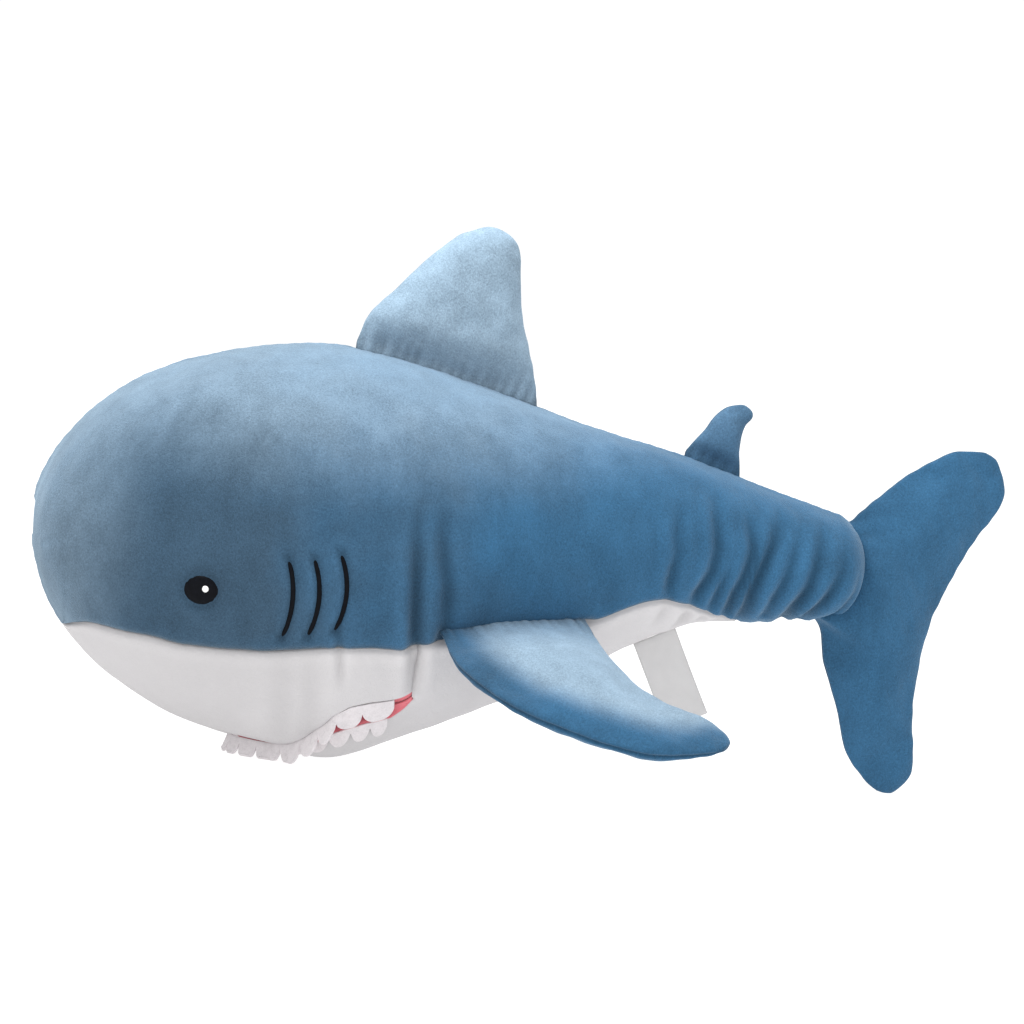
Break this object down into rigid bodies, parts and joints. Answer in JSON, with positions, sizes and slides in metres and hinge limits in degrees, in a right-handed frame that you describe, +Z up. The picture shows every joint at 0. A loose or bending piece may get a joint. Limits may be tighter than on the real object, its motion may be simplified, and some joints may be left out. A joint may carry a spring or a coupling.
{
  "type": "plush shark",
  "caption": "Stuffed plush shark with a round blue body, white belly, felt-toothed mouth under the head, embroidered eyes and gills, and soft fins that flex at their seams.",
  "frame": {"origin": "on the floor, under the middle of the toy's length and width", "axes": "+X from the nose to the tail, +Y to the shark's right side, +Z up; the toy stands level on its belly and the lower tip of its tail fin"},
  "size_m": [0.6, 0.3582, 0.331],
  "materials": {
    "blue_plush": "short-pile plush with a soft sheen, mid grey-blue, lighter where the nap catches the light",
    "white_plush": "short-pile plush, white",
    "pink_felt": "smooth pink felt",
    "white_felt": "thin white felt with cut edges",
    "black_thread": "satin-stitched black embroidery thread",
    "white_thread": "white embroidery thread",
    "label_tape": "light grey satin label tape, blank",
    "fibre_filling": "loose white polyester fibre"
  },
  "bodies": {
    "body": {"body_fill": "fibre_filling", "side_panel_left": "blue_plush", "side_panel_right": "blue_plush", "snout_panel": "white_plush", "belly_panel": "white_plush", "mouth_roof_lining": "pink_felt", "mouth_floor_lining": "pink_felt", "upper_teeth": "white_felt", "lower_teeth": "white_felt", "eye_left": "black_thread", "eye_right": "black_thread", "eye_glint_left": "white_thread", "eye_glint_right": "white_thread", "gill_stitches_left": "black_thread", "gill_stitches_right": "black_thread", "closing_stitches": "white_thread"},
    "tail": {"tail_fill": "fibre_filling", "tail_panel_left": "blue_plush", "tail_panel_right": "blue_plush"},
    "caudal_fin": {"caudal_fill": "fibre_filling", "caudal_panel_left": "blue_plush", "caudal_panel_right": "blue_plush"},
    "dorsal_fin": {"dorsal_fill": "fibre_filling", "dorsal_panel_left": "blue_plush", "dorsal_panel_right": "blue_plush"},
    "rear_dorsal_fin": {"rear_dorsal_fill": "fibre_filling", "rear_dorsal_panel_left": "blue_plush", "rear_dorsal_panel_right": "blue_plush"},
    "pectoral_fin_left": {"pectoral_fill_left": "fibre_filling", "pectoral_upper_left": "blue_plush", "pectoral_lower_left": "blue_plush"},
    "pectoral_fin_right": {"pectoral_fill_right": "fibre_filling", "pectoral_upper_right": "blue_plush", "pectoral_lower_right": "blue_plush"},
    "care_label": {"care_label": "label_tape"}
  },
  "joints": [
    {"name": "tail_bend", "type": "hinge", "parent": "body", "child": "tail", "pos_m": [0.145, 0, 0.145], "axis": [0, 0, 1], "range_deg": [-28, 28], "stiffness_Nm_per_rad": 0.6},
    {"name": "caudal_swing", "type": "hinge", "parent": "tail", "child": "caudal_fin", "pos_m": [0.2165, 0, 0.14], "axis": [0, 0, 1], "range_deg": [-35, 35], "stiffness_Nm_per_rad": 0.25},
    {"name": "dorsal_flop", "type": "hinge", "parent": "body", "child": "dorsal_fin", "pos_m": [-0.111, 0, 0.254], "axis": [0.9737, 0, -0.2278], "range_deg": [-30, 30], "stiffness_Nm_per_rad": 0.4},
    {"name": "rear_dorsal_flop", "type": "hinge", "parent": "body", "child": "rear_dorsal_fin", "pos_m": [0.097, 0, 0.203], "axis": [0.9627, 0, -0.2707], "range_deg": [-35, 35], "stiffness_Nm_per_rad": 0.05},
    {"name": "pectoral_flap_left", "type": "hinge", "parent": "body", "child": "pectoral_fin_left", "pos_m": [-0.057, -0.094, 0.088], "axis": [-0.9476, -0.302, -0.1041], "range_deg": [-30, 50], "stiffness_Nm_per_rad": 0.5},
    {"name": "pectoral_flap_right", "type": "hinge", "parent": "body", "child": "pectoral_fin_right", "pos_m": [-0.057, 0.094, 0.088], "axis": [0.9476, -0.302, 0.1041], "range_deg": [-30, 50], "stiffness_Nm_per_rad": 0.5},
    {"name": "label_flip", "type": "hinge", "parent": "body", "child": "care_label", "pos_m": [0.073, 0, 0.0825], "axis": [0.9272, 0, 0.3746], "range_deg": [-55, 55], "stiffness_Nm_per_rad": 0.003}
  ]
}
